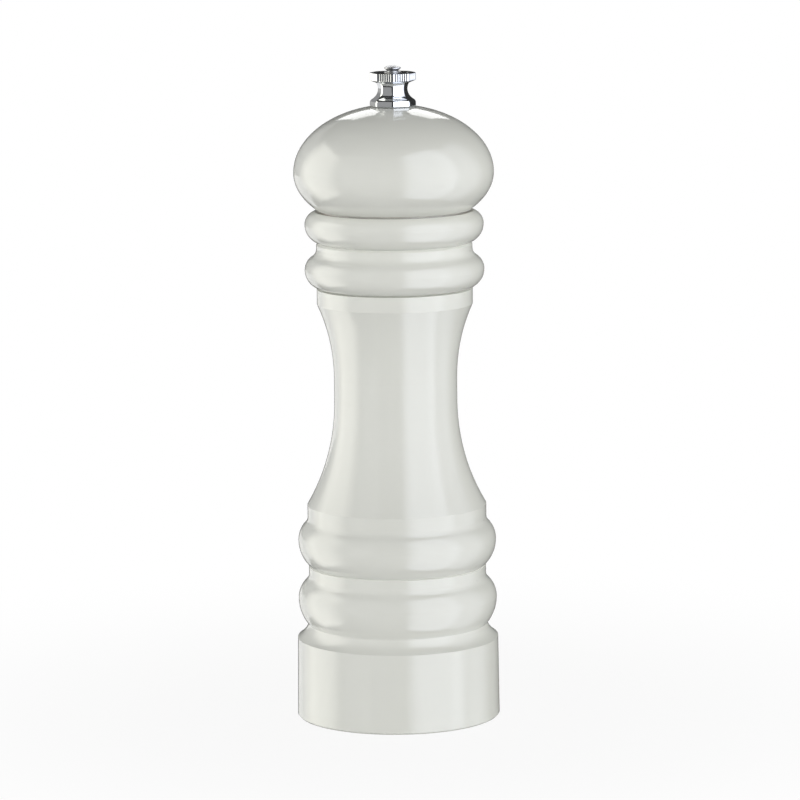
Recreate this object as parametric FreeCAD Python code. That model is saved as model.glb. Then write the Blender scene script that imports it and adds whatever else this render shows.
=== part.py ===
import FreeCAD, Part
import math
import os
from collections import namedtuple
from FreeCAD import Vector

# All sizes are in millimetres. Z is the mill's axis, pointing up, and z = 0 is the table it stands on.
# A name ending in _R is a radius from that axis or a piece's own, and one ending in _Z is a height.

# Outside of the base
BASE_R = 28.1
BASE_TOP_R = 27.83
BASE_TOP_Z = 22.0
BASE_CHAMFER_SAG = 0.4
EDGE_BREAK = 0.4

# Beads turned on the body: a notch, a swelling crest, a cove and a plain band above it
Bead = namedtuple("Bead", "notch_r notch_z crest_r crest_z crown_radius cove_radius band_r band_top_z")
LOWER_BEAD = Bead(notch_r=24.9, notch_z=25.9, crest_r=27.5, crest_z=33.0,
                  crown_radius=6.6, cove_radius=2.45, band_r=24.55, band_top_z=42.0)
SECOND_BEAD = Bead(notch_r=24.25, notch_z=42.2, crest_r=27.38, crest_z=49.3,
                   crown_radius=6.6, cove_radius=2.45, band_r=24.75, band_top_z=59.2)
NECK_BEAD = Bead(notch_r=20.6, notch_z=119.4, crest_r=24.67, crest_z=124.5,
                 crown_radius=4.2, cove_radius=2.8, band_r=21.43, band_top_z=131.4)

# Waist and neck of the body
WAIST_R = 16.96
WAIST_LOW_Z = 88.0
WAIST_HIGH_Z = 94.5
NECK_R = 21.43
NECK_LOW_Z = 115.0
NECK_HIGH_Z = 119.2

# Top bead of the body, the land that the head turns on, and the open slot of the seam round that land
RIM_NOTCH_R = 20.9
RIM_NOTCH_Z = 132.0
RIM_CREST_R = 24.56
RIM_CREST_Z = 137.0
SEAM_R = 21.8
SEAM_LAND_R = 20.0
SEAM_Z = 141.0
SEAM_SLOT = 0.4
SEAM_BEVEL = 0.4
SEAM_GAP = 0.05

# Bores of the body
RECESS_R = 23.2
FLANGE_SEAT_Z = 9.0
GRINDER_BORE_R = 17.3
BRIDGE_STOP_Z = 38.0
CHAMBER_R = 13.0
MOUTH_R = 15.0
MOUTH_FLOOR_Z = 125.5
MOUTH_CHAMFER = 0.8

# Head
HEAD_R = 27.45
HEAD_CREST_Z = 151.2
HEAD_DOME_RISE = 18.5
HEAD_LOWER_DROP = 15.9
TENON_R = 14.75
TENON_BOTTOM_Z = 128.5
SPINDLE_HOLE_R = 4.6
TOP_HOLE_R = 2.9
TOP_HOLE_Z = 160.0
NUT_SEAT_R = 6.9

# Eight-sided adjusting nut, with heights from its own foot
NUT_Z = 169.15
NUT_HEIGHT = 9.35
NUT_SIDES = 8
NUT_ACROSS_FLATS = 11.8
NUT_WAIST_ACROSS_FLATS = 7.6
NUT_FOOT_BREAK = 0.35
NUT_FOOT_HEIGHT = 1.1
NUT_FOOT_ROUND = 1.2
NUT_WAIST_HEIGHT = 4.9
NUT_FLARE_ACROSS_FLATS = 8.4
NUT_FLARE_HEIGHT = 6.5
NUT_RIM_HEIGHT = 7.25
NUT_EDGE_BREAK = 0.15
NUT_BORE_R = 2.52
NUT_DISH_R = 4.6
NUT_DISH_FLOOR_R = 2.9
NUT_DISH_DEPTH = 1.4

# Spindle: a square bar with its corners turned off, a threaded top and a round foot
BAR_SIDE = 6.0
BAR_CORNER_R = 4.0
BAR_BOTTOM_Z = 4.9
BAR_TOP_Z = 157.0
THREAD_R = 2.45
THREAD_TOP_Z = 178.6
TIP_NECK_R = 1.5
TIP_NECK_TOP_Z = 178.9
TIP_R = 2.25
TIP_SIDE_Z = 179.6
TIP_SIDE_TOP_Z = 179.85
MILL_HEIGHT = 180.4
FOOT_R = 2.4
FOOT_Z = 1.9
SQUARE_PLAY = 0.1

# Clips that snap into grooves of the spindle
CLIP_THICKNESS = 0.8
CLIP_PLAY = 0.04
CLIP_BAND_SHARE = 0.68
CLIP_PRONG_WIDTH = 1.5
CLIP_PRONG_ANGLES = (90.0, -20.0, 200.0)
FOOT_GROOVE_R = 1.8
FOOT_CLIP_R = 4.6
KEEPER_GROOVE_R = 2.6
KEEPER_CLIP_R = 5.6
KEEPER_Z = 40.7

# Grinder housing with its flange, retainer and screws
FLANGE_R = 22.9
FLANGE_THICKNESS = 2.5
BARREL_R = 17.0
BARREL_TOP_Z = 34.0
STATOR_SEAT_R = 15.1
FUNNEL_TOP_R = 14.4
FUNNEL_LOW_R = 13.6
RETAINER_THICKNESS = 1.0
RETAINER_R = 22.6
RETAINER_BORE_R = 13.2
HOUSING_SCREWS = 3
HOUSING_SCREW_ANGLE = 90.0
SCREW_CIRCLE_R = 20.2
SCREW_R = 1.4
SCREW_HEAD_R = 2.6
SCREW_HEAD_HEIGHT = 1.9
SCREW_HEAD_SIDE = 0.9
SCREW_POINT = 2.2
SCREW_PLAY = 0.05
HOUSING_SCREW_LENGTH = 13.5
KEYS = 3
KEY_ANGLE = 30.0
KEY_R = 0.9
KEY_PLAY = 0.1

# Fine grooves and coarse flutes: a lead is the tilt of a groove from straight up the cone
Grooves = namedtuple("Grooves", "count lead depth width")

# Stator: fine grooves below its throat, coarse flutes above it
STATOR_R = 15.0
STATOR_TOP_Z = 20.5
STATOR_THROAT_Z = 12.0
STATOR_LOW_R = 12.35
STATOR_THROAT_R = 10.9
STATOR_TOP_R = 12.7
STATOR_GROOVES = Grooves(count=30, lead=10.0, depth=0.8, width=1.7)
STATOR_FLUTES = Grooves(count=10, lead=20.0, depth=1.1, width=4.4)

# Rotor: a ring of fine grooves round its foot, flutes that draw the peppercorns down above a step
ROTOR_Z = 6.3
ROTOR_TOP_Z = 20.3
ROTOR_STEP_Z = 11.8
ROTOR_LOW_R = 11.95
ROTOR_RING_TOP_R = 10.3
ROTOR_STEP_R = 9.45
ROTOR_TOP_R = 7.9
ROTOR_GROOVES = Grooves(count=28, lead=-12.0, depth=0.8, width=1.8)
ROTOR_FLUTES = Grooves(count=6, lead=-36.0, depth=1.3, width=4.6)
STEEP_SHARE = 0.25

# Hub of the rotor, washers and spring
HUB_FLANGE_R = 8.6
HUB_HEX_ACROSS_FLATS = 10.0
HUB_HEX_PLAY = 0.1
HUB_TOP_Z = 19.8
END_WASHER_R = 5.5
WASHER_BORE_PLAY = 0.1
SPRING_WASHER_THICKNESS = 0.6
SPRING_WASHER_R = 7.6
SPRING_WASHER_BORE_R = 4.2
SPRING_WIRE = 1.1
SPRING_R = 5.4
SPRING_TURNS = 4
SPRING_END_GAP = 0.1
SPANS_PER_TURN = 4
GAP_POINTS_PER_TURN = 24

# Bridge over the grinder and the bush that turns in it
BRIDGE_BORE_R = 5.56
BRIDGE_HUB_R = 7.6
BRIDGE_RING_BORE_R = 14.4
BRIDGE_ARMS = 2
BRIDGE_ARM_WIDTH = 4.0
BRIDGE_ARM_DROP = 0.6
BUSH_R = 5.5
BUSH_FLANGE_R = 7.4
BUSH_FLANGE_THICKNESS = 1.0
BUSH_TOP_Z = 39.2
BUSH_PLAY = 0.05
BUSH_GROOVE_R = 4.9
BUSH_CLIP_R = 6.8
BUSH_CLIP_Z = 38.1
BUSH_CLIP_THICKNESS = 0.6
BUSH_CLIP_MOUTH = 5.0

# Drive plate under the head
PLATE_LENGTH = 25.0
PLATE_WIDTH = 12.0
PLATE_THICKNESS = 1.5
PLATE_SCREWS = 2
PLATE_SCREW_X = 8.6
PLATE_SCREW_LENGTH = 14.0

# Cross recess in every screw head
CROSS_WIDTH = 0.7
CROSS_LENGTH = 2.8
CROSS_DEPTH = 0.9

# Heights that follow from the sizes above
FLANGE_Z = FLANGE_SEAT_Z - FLANGE_THICKNESS
RETAINER_Z = FLANGE_Z - RETAINER_THICKNESS
PLATE_Z = TENON_BOTTOM_Z - PLATE_THICKNESS
END_WASHER_Z = BAR_BOTTOM_Z - CLIP_THICKNESS
FOOT_CLIP_Z = END_WASHER_Z - CLIP_THICKNESS
SPRING_Z = ROTOR_TOP_Z + SPRING_WASHER_THICKNESS
BUSH_FLANGE_Z = BARREL_TOP_Z - BUSH_PLAY - BUSH_FLANGE_THICKNESS

ORIGIN = Vector(0, 0, 0)
UP = Vector(0, 0, 1)
OVERSHOOT = 0.5
WIDE = 40.0


class Outline:
    """A half section drawn in x (radius) and z, upwards on the outside, to be spun about the axis."""

    def __init__(self, radius, z):
        self.first = Vector(radius, 0, z)
        self.last = self.first
        self.edges = []

    def add(self, curve, point):
        self.edges.append(curve.toShape())
        self.last = point

    def line(self, radius, z):
        point = Vector(radius, 0, z)
        self.add(Part.LineSegment(self.last, point), point)

    def hollow(self, radius, z, sag):
        """A shallow arc whose middle lies inside its chord by sag."""
        point = Vector(radius, 0, z)
        chord = point - self.last
        inward = Vector(-chord.z, 0, chord.x).normalize()
        middle = (self.last + point) * 0.5 + inward * sag
        self.add(Part.Arc(self.last, middle, point), point)

    def arc(self, radius, z, upright_at):
        """An arc that runs parallel to the axis at its start or at its end."""
        point = Vector(radius, 0, z)
        upright, other = (self.last, point) if upright_at == "start" else (point, self.last)
        run = other - upright
        arc_radius = run.Length ** 2 / (2 * abs(run.x))
        centre = upright + Vector(math.copysign(arc_radius, run.x), 0, 0)
        halfway = (upright - centre).normalize() + (other - centre).normalize()
        middle = centre + halfway.normalize() * arc_radius
        self.add(Part.Arc(self.last, middle, point), point)

    def cap(self, z):
        """A shallow dome from the last point to the axis."""
        rise = z - self.last.z
        reach = self.last.x
        arc_radius = (reach ** 2 + rise ** 2) / (2 * rise)
        half_turn = math.asin(reach / arc_radius) / 2
        centre_z = z - arc_radius
        middle = Vector(arc_radius * math.sin(half_turn), 0, centre_z + arc_radius * math.cos(half_turn))
        point = Vector(0, 0, z)
        self.add(Part.Arc(self.last, middle, point), point)

    def crown_and_cove(self, band_r, crown_radius, cove_radius):
        """From a crest, a rounded shoulder and then a cove that ends parallel to the axis."""
        crest = self.last
        reach = crown_radius + cove_radius
        turn = math.acos(1 - (crest.x - band_r) / reach)
        meeting_r = crest.x - crown_radius * (1 - math.cos(turn))
        self.arc(meeting_r, crest.z + crown_radius * math.sin(turn), "start")
        self.arc(band_r, crest.z + reach * math.sin(turn), "end")

    def bead(self, shape):
        """One bead of the body, from the notch below it to the top of the band above it."""
        self.line(shape.notch_r, shape.notch_z)
        self.arc(shape.crest_r, shape.crest_z, "end")
        self.crown_and_cove(shape.band_r, shape.crown_radius, shape.cove_radius)
        self.line(shape.band_r, shape.band_top_z)

    def ellipse(self, half_width, half_height, centre_z, end_z):
        """Part of an ellipse about the axis, from the last point up to a height."""
        centre = Vector(0, 0, centre_z)
        curve = Part.Ellipse(centre + Vector(half_width, 0, 0), centre + UP * half_height, centre)
        start_angle = math.asin((self.last.z - centre_z) / half_height)
        end_angle = math.asin((end_z - centre_z) / half_height)
        end_r = half_width * math.cos(end_angle)
        self.add(Part.ArcOfEllipse(curve, start_angle, end_angle), Vector(end_r, 0, end_z))

    def face(self):
        closing = Part.LineSegment(self.last, self.first).toShape()
        return Part.Face(Part.Wire(self.edges + [closing]))

    def spun(self):
        solid = self.face().revolve(ORIGIN, UP, 360)
        if solid.Volume < 0:
            solid.reverse()
        return solid


def disc(radius, z, height, x=0.0):
    return Part.makeCylinder(radius, height, Vector(x, 0, z))


def ring(radius, bore_r, z, height):
    return disc(radius, z, height).cut(disc(bore_r, z, height))


def square_bar(side, z, height):
    return Part.makeBox(side, side, height, Vector(-side / 2, -side / 2, z))


def hexagon(across_flats, z, height):
    corner_r = across_flats / math.sqrt(3)
    angles = [math.radians(60 * index + 30) for index in range(7)]
    corners = [Vector(corner_r * math.cos(angle), corner_r * math.sin(angle), z) for angle in angles]
    return Part.Face(Part.makePolygon(corners)).extrude(UP * height)


def turned_to(shape, angles):
    """Copies of a shape, turned about the axis to each of the angles."""
    copies = []
    for angle in angles:
        copy = shape.copy()
        copy.rotate(ORIGIN, UP, angle)
        copies.append(copy)
    return copies


def around(shape, count, first_angle=0.0):
    """Copies of a shape, evenly spaced about the axis."""
    return turned_to(shape, [first_angle + index * 360.0 / count for index in range(count)])


def screw_places(shape):
    return around(shape, HOUSING_SCREWS, HOUSING_SCREW_ANGLE)


def plate_screw_places(shape):
    return around(shape, PLATE_SCREWS)


def key_places(shape):
    return around(shape, KEYS, KEY_ANGLE)


def mill_body():
    outline = Outline(RECESS_R, 0)
    outline.line(BASE_R - EDGE_BREAK, 0)
    outline.line(BASE_R, EDGE_BREAK)
    outline.line(BASE_TOP_R, BASE_TOP_Z)
    outline.hollow(LOWER_BEAD.notch_r, LOWER_BEAD.notch_z - EDGE_BREAK, BASE_CHAMFER_SAG)
    outline.bead(LOWER_BEAD)
    outline.bead(SECOND_BEAD)
    outline.arc(WAIST_R, WAIST_LOW_Z, "end")
    outline.line(WAIST_R, WAIST_HIGH_Z)
    outline.arc(NECK_R, NECK_LOW_Z, "start")
    outline.line(NECK_R, NECK_HIGH_Z)
    outline.bead(NECK_BEAD)
    outline.line(RIM_NOTCH_R, RIM_NOTCH_Z)
    outline.arc(RIM_CREST_R, RIM_CREST_Z, "end")
    outline.arc(SEAM_R, SEAM_Z - SEAM_SLOT, "start")
    outline.line(SEAM_LAND_R, SEAM_Z - SEAM_SLOT)
    outline.line(SEAM_LAND_R, SEAM_Z)
    outline.line(MOUTH_R + MOUTH_CHAMFER, SEAM_Z)
    outline.line(MOUTH_R, SEAM_Z - MOUTH_CHAMFER)
    outline.line(MOUTH_R, MOUTH_FLOOR_Z)
    outline.line(CHAMBER_R, MOUTH_FLOOR_Z)
    outline.line(CHAMBER_R, BRIDGE_STOP_Z)
    outline.line(GRINDER_BORE_R, BRIDGE_STOP_Z)
    outline.line(GRINDER_BORE_R, FLANGE_SEAT_Z)
    outline.line(RECESS_R, FLANGE_SEAT_Z)
    pilot = disc(SCREW_R + SCREW_PLAY, FLANGE_SEAT_Z, HOUSING_SCREW_LENGTH, SCREW_CIRCLE_R)
    return outline.spun().cut(screw_places(pilot))


def mill_head():
    rim_z = SEAM_Z + SEAM_GAP
    skirt_z = rim_z + SEAM_BEVEL
    skirt_r = HEAD_R * math.sqrt(1 - ((HEAD_CREST_Z - skirt_z) / HEAD_LOWER_DROP) ** 2)
    dome_top_z = HEAD_CREST_Z + HEAD_DOME_RISE * math.sqrt(1 - (NUT_SEAT_R / HEAD_R) ** 2)
    seat_z = NUT_Z - SEAM_GAP
    outline = Outline(SPINDLE_HOLE_R, TENON_BOTTOM_Z)
    outline.line(TENON_R - EDGE_BREAK, TENON_BOTTOM_Z)
    outline.line(TENON_R, TENON_BOTTOM_Z + EDGE_BREAK)
    outline.line(TENON_R, rim_z)
    outline.line(skirt_r - SEAM_BEVEL, rim_z)
    outline.line(skirt_r, skirt_z)
    outline.ellipse(HEAD_R, HEAD_LOWER_DROP, HEAD_CREST_Z, HEAD_CREST_Z)
    outline.ellipse(HEAD_R, HEAD_DOME_RISE, HEAD_CREST_Z, dome_top_z)
    outline.line(NUT_SEAT_R - EDGE_BREAK, seat_z)
    outline.line(TOP_HOLE_R, seat_z)
    outline.line(TOP_HOLE_R, TOP_HOLE_Z)
    outline.line(SPINDLE_HOLE_R, TOP_HOLE_Z)
    pilot = disc(SCREW_R + SCREW_PLAY, TENON_BOTTOM_Z, PLATE_SCREW_LENGTH, PLATE_SCREW_X)
    return outline.spun().cut(plate_screw_places(pilot))


def adjusting_nut():
    """Eight equal facets: one side outline pushed straight along, turned about the axis and mitred."""
    flat = NUT_ACROSS_FLATS / 2
    waist = NUT_WAIST_ACROSS_FLATS / 2
    foot_reach = NUT_WAIST_HEIGHT - NUT_FOOT_HEIGHT
    turn = 2 * math.atan((flat - waist) / foot_reach)
    cove_radius = foot_reach / math.sin(turn) - NUT_FOOT_ROUND
    top_z = NUT_Z + NUT_HEIGHT
    side = Outline(-WIDE, NUT_Z)
    side.line(flat - NUT_FOOT_BREAK, NUT_Z)
    side.line(flat, NUT_Z + NUT_FOOT_BREAK)
    side.line(flat, NUT_Z + NUT_FOOT_HEIGHT)
    side.crown_and_cove(waist, NUT_FOOT_ROUND, cove_radius)
    side.arc(NUT_FLARE_ACROSS_FLATS / 2, NUT_Z + NUT_FLARE_HEIGHT, "start")
    side.line(flat, NUT_Z + NUT_RIM_HEIGHT)
    side.line(flat, top_z - NUT_EDGE_BREAK)
    side.line(flat - NUT_EDGE_BREAK, top_z)
    side.line(-WIDE, top_z)
    slab = side.face().extrude(Vector(0, 2 * WIDE, 0))
    slab.translate(Vector(0, -WIDE, 0))
    facets = around(slab, NUT_SIDES, 180.0 / NUT_SIDES)
    nut = facets[0]
    for facet in facets[1:]:
        nut = nut.common(facet)
    dish_base = Vector(0, 0, top_z - NUT_DISH_DEPTH)
    dish = Part.makeCone(NUT_DISH_FLOOR_R, NUT_DISH_R, NUT_DISH_DEPTH, dish_base)
    return nut.cut([disc(NUT_BORE_R, NUT_Z, NUT_HEIGHT), dish])


def spindle():
    bar_length = BAR_TOP_Z - BAR_BOTTOM_Z
    bar = square_bar(BAR_SIDE, BAR_BOTTOM_Z, bar_length).common(disc(BAR_CORNER_R, BAR_BOTTOM_Z, bar_length))
    keeper_groove = ring(BAR_SIDE, KEEPER_GROOVE_R, KEEPER_Z - CLIP_PLAY, CLIP_THICKNESS + 2 * CLIP_PLAY)
    foot = Outline(0, FOOT_Z)
    foot.line(FOOT_R - EDGE_BREAK, FOOT_Z)
    foot.line(FOOT_R, FOOT_Z + EDGE_BREAK)
    foot.line(FOOT_R, FOOT_CLIP_Z - CLIP_PLAY)
    foot.line(FOOT_GROOVE_R, FOOT_CLIP_Z - CLIP_PLAY)
    foot.line(FOOT_GROOVE_R, END_WASHER_Z)
    foot.line(FOOT_R, END_WASHER_Z)
    foot.line(FOOT_R, BAR_BOTTOM_Z)
    foot.line(0, BAR_BOTTOM_Z)
    top = Outline(0, BAR_TOP_Z)
    top.line(THREAD_R, BAR_TOP_Z)
    top.line(THREAD_R, THREAD_TOP_Z)
    top.line(TIP_NECK_R, THREAD_TOP_Z)
    top.line(TIP_NECK_R, TIP_NECK_TOP_Z)
    top.line(TIP_R, TIP_SIDE_Z)
    top.line(TIP_R, TIP_SIDE_TOP_Z)
    top.cap(MILL_HEIGHT)
    return bar.cut(keeper_groove).fuse([foot.spun(), top.spun()])


def spring_clip(groove_r, outer_r, z):
    """An E-shaped clip: an open band with three prongs that reach into the groove."""
    hold_r = groove_r + CLIP_PLAY
    band = ring(outer_r, outer_r * CLIP_BAND_SHARE, z, CLIP_THICKNESS)
    prong_base = Vector(0, -CLIP_PRONG_WIDTH / 2, z)
    prong = Part.makeBox(outer_r * CLIP_BAND_SHARE + OVERSHOOT, CLIP_PRONG_WIDTH, CLIP_THICKNESS, prong_base)
    prongs = turned_to(prong, CLIP_PRONG_ANGLES)
    mouth = Part.makeBox(2 * hold_r, outer_r, CLIP_THICKNESS, Vector(-hold_r, -outer_r, z))
    return band.fuse(prongs).cut([disc(hold_r, z, CLIP_THICKNESS), mouth]).removeSplitter()


def retaining_clip():
    return spring_clip(FOOT_GROOVE_R, FOOT_CLIP_R, FOOT_CLIP_Z)


def keeper_clip():
    return spring_clip(KEEPER_GROOVE_R, KEEPER_CLIP_R, KEEPER_Z)


def end_washer():
    return ring(END_WASHER_R, FOOT_R + WASHER_BORE_PLAY, END_WASHER_Z, CLIP_THICKNESS)


def cross_recess(z):
    """The cross-shaped hole of a screw head whose outer face is at z and looks down."""
    corner = Vector(-CROSS_LENGTH / 2, -CROSS_WIDTH / 2, z)
    across = Part.makeBox(CROSS_LENGTH, CROSS_WIDTH, CROSS_DEPTH, corner)
    return turned_to(across, (0.0, 90.0))


def housing_screws():
    """Round-headed wood screws, driven upwards through the retainer and the flange."""
    tip_z = RETAINER_Z + HOUSING_SCREW_LENGTH
    outline = Outline(0, tip_z)
    outline.line(SCREW_R, tip_z - SCREW_POINT)
    outline.line(SCREW_R, RETAINER_Z)
    outline.line(SCREW_HEAD_R, RETAINER_Z)
    outline.line(SCREW_HEAD_R, RETAINER_Z - SCREW_HEAD_SIDE)
    outline.cap(RETAINER_Z - SCREW_HEAD_HEIGHT)
    screw = outline.spun().cut(cross_recess(RETAINER_Z - SCREW_HEAD_HEIGHT))
    screw.translate(Vector(SCREW_CIRCLE_R, 0, 0))
    return Part.makeCompound(screw_places(screw))


def drive_plate_screws():
    """Countersunk wood screws, driven upwards through the plate into the head."""
    tip_z = PLATE_Z + PLATE_SCREW_LENGTH
    outline = Outline(0, tip_z)
    outline.line(SCREW_R, tip_z - SCREW_POINT)
    outline.line(SCREW_R, PLATE_Z + SCREW_HEAD_R - SCREW_R)
    outline.line(SCREW_HEAD_R, PLATE_Z)
    outline.line(0, PLATE_Z)
    screw = outline.spun().cut(cross_recess(PLATE_Z))
    screw.translate(Vector(PLATE_SCREW_X, 0, 0))
    return Part.makeCompound(plate_screw_places(screw))


def drive_plate():
    """A stamped plate with round ends, a square hole for the bar and two countersunk holes."""
    straight = PLATE_LENGTH - PLATE_WIDTH
    corner = Vector(-straight / 2, -PLATE_WIDTH / 2, PLATE_Z)
    blank = Part.makeBox(straight, PLATE_WIDTH, PLATE_THICKNESS, corner)
    ends = around(disc(PLATE_WIDTH / 2, PLATE_Z, PLATE_THICKNESS, straight / 2), 2)
    hole = disc(SCREW_R + SCREW_PLAY, PLATE_Z, PLATE_THICKNESS, PLATE_SCREW_X)
    sink_r = SCREW_HEAD_R + SCREW_PLAY
    sink = Part.makeCone(sink_r, sink_r - PLATE_THICKNESS, PLATE_THICKNESS, Vector(PLATE_SCREW_X, 0, PLATE_Z))
    square = square_bar(BAR_SIDE + 2 * SQUARE_PLAY, PLATE_Z, PLATE_THICKNESS)
    plate = blank.fuse(ends).removeSplitter()
    return plate.cut([square] + plate_screw_places(hole) + plate_screw_places(sink))


def grinder_housing():
    """A moulded cup: flange below, a seat for the stator with three keys, a funnel above it."""
    outline = Outline(STATOR_SEAT_R, FLANGE_Z)
    outline.line(FLANGE_R, FLANGE_Z)
    outline.line(FLANGE_R, FLANGE_SEAT_Z)
    outline.line(BARREL_R, FLANGE_SEAT_Z)
    outline.line(BARREL_R, BARREL_TOP_Z)
    outline.line(FUNNEL_TOP_R, BARREL_TOP_Z)
    outline.line(FUNNEL_LOW_R, STATOR_TOP_Z)
    outline.line(STATOR_SEAT_R, STATOR_TOP_Z)
    key = disc(KEY_R, FLANGE_Z, STATOR_TOP_Z - FLANGE_Z, STATOR_SEAT_R)
    hole = disc(SCREW_R + SCREW_PLAY, FLANGE_Z, FLANGE_THICKNESS, SCREW_CIRCLE_R)
    return outline.spun().fuse(key_places(key)).cut(screw_places(hole)).removeSplitter()


def stator_retainer():
    hole = disc(SCREW_R + SCREW_PLAY, RETAINER_Z, RETAINER_THICKNESS, SCREW_CIRCLE_R)
    return ring(RETAINER_R, RETAINER_BORE_R, RETAINER_Z, RETAINER_THICKNESS).cut(screw_places(hole))


def side_of_cone(low, high, lead, into):
    """A cutter's middle, its way, the way into the solid and its length, on a cone's side from low to high.

    low and high are (radius, z). into is 1 where the solid lies round the cone and -1 where it fills it.
    """
    slant = Vector(high[0] - low[0], 0, high[1] - low[1])
    middle = Vector(low[0] + high[0], 0, low[1] + high[1]) * 0.5
    tilt = math.radians(lead)
    length = slant.Length / math.cos(tilt)
    slant.normalize()
    inwards = Vector(slant.z, 0, -slant.x) * into
    along = slant * math.cos(tilt) + Vector(0, math.sin(tilt), 0)
    return middle, along, inwards, length


def saw_cutter(shape, low, high, into):
    """A three-sided bar that cuts one groove with a steep and a flat side."""
    middle, along, inwards, length = side_of_cone(low, high, shape.lead, into)
    across = inwards.cross(along)
    spread = shape.width * (shape.depth + OVERSHOOT) / shape.depth
    lip = middle - inwards * OVERSHOOT
    corners = [middle + inwards * shape.depth, lip + across * (spread * STEEP_SHARE),
               lip - across * (spread * (1 - STEEP_SHARE))]
    section = Part.Face(Part.makePolygon(corners + corners[:1]))
    section.translate(along * -(length / 2 + OVERSHOOT))
    return section.extrude(along * (length + 2 * OVERSHOOT))


def round_cutter(shape, low, high, into):
    """A round bar that cuts one flute of the given width and depth."""
    middle, along, inwards, length = side_of_cone(low, high, shape.lead, into)
    bar_r = (shape.width ** 2 / 4 + shape.depth ** 2) / (2 * shape.depth)
    start = middle + inwards * (shape.depth - bar_r) - along * (length / 2 + shape.width)
    return Part.makeCylinder(bar_r, length + 2 * shape.width, start, along)


def stator_ring():
    """The fixed grinding ring, narrowest at its throat."""
    low = (STATOR_LOW_R, FLANGE_Z)
    throat = (STATOR_THROAT_R, STATOR_THROAT_Z)
    top = (STATOR_TOP_R, STATOR_TOP_Z)
    outline = Outline(STATOR_LOW_R, FLANGE_Z)
    outline.line(STATOR_R, FLANGE_Z)
    outline.line(STATOR_R, STATOR_TOP_Z)
    outline.line(*top)
    outline.line(*throat)
    grooves = around(saw_cutter(STATOR_GROOVES, low, throat, 1), STATOR_GROOVES.count)
    flutes = around(round_cutter(STATOR_FLUTES, throat, top, 1), STATOR_FLUTES.count)
    keyway = disc(KEY_R + KEY_PLAY, FLANGE_Z, STATOR_TOP_Z - FLANGE_Z, STATOR_SEAT_R)
    return outline.spun().cut(key_places(keyway)).cut(grooves).cut(flutes)


def rotor_cone():
    """The turning grinding cone, with a six-sided bore that the hub fills."""
    low = (ROTOR_LOW_R, ROTOR_Z)
    ring_top = (ROTOR_RING_TOP_R, ROTOR_STEP_Z)
    step = (ROTOR_STEP_R, ROTOR_STEP_Z)
    top = (ROTOR_TOP_R, ROTOR_TOP_Z)
    outline = Outline(0, ROTOR_Z)
    outline.line(*low)
    outline.line(*ring_top)
    outline.line(*step)
    outline.line(*top)
    outline.line(0, ROTOR_TOP_Z)
    grooves = around(saw_cutter(ROTOR_GROOVES, low, ring_top, -1), ROTOR_GROOVES.count)
    flutes = around(round_cutter(ROTOR_FLUTES, step, top, -1), ROTOR_FLUTES.count)
    bore = hexagon(HUB_HEX_ACROSS_FLATS + 2 * HUB_HEX_PLAY, ROTOR_Z, ROTOR_TOP_Z - ROTOR_Z)
    return outline.spun().cut(grooves).cut(flutes).cut(bore)


def rotor_hub():
    flange = disc(HUB_FLANGE_R, BAR_BOTTOM_Z, ROTOR_Z - BAR_BOTTOM_Z)
    sleeve = hexagon(HUB_HEX_ACROSS_FLATS, ROTOR_Z, HUB_TOP_Z - ROTOR_Z)
    hole = square_bar(BAR_SIDE + SQUARE_PLAY, BAR_BOTTOM_Z, HUB_TOP_Z - BAR_BOTTOM_Z)
    return flange.fuse(sleeve).cut(hole)


def spring_washer():
    return ring(SPRING_WASHER_R, SPRING_WASHER_BORE_R, ROTOR_TOP_Z, SPRING_WASHER_THICKNESS)


def tangent_arc(start, corner, end):
    """The arc that leaves start towards corner and arrives at end from it, with equal legs."""
    middle = (start + end) * 0.5
    half_chord = (end - start).Length / 2
    to_corner = corner - middle
    sag = half_chord * math.tan(math.atan2(to_corner.Length, half_chord) / 2)
    return Part.Arc(start, middle + to_corner.normalize() * sag, end).toShape()


def biarc(start, start_way, end, end_way):
    """Two arcs that join two points and keep the direction at each."""
    span = end - start
    square_term = 2 * (start_way.dot(end_way) - 1)
    linear_term = -2 * span.dot(start_way + end_way)
    root = math.sqrt(linear_term ** 2 - 4 * square_term * span.dot(span))
    leg = (-linear_term - root) / (2 * square_term)
    first_corner = start + start_way * leg
    second_corner = end - end_way * leg
    joint = (first_corner + second_corner) * 0.5
    return [tangent_arc(start, first_corner, joint), tangent_arc(joint, second_corner, end)]


def least_gap(points, skip):
    """The least room between turns of the wire, from points along it that are more than skip apart."""
    least = WIDE
    for index, point in enumerate(points):
        for other in points[index + skip:]:
            least = min(least, point.distanceToPoint(other))
    return least - SPRING_WIRE


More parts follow.
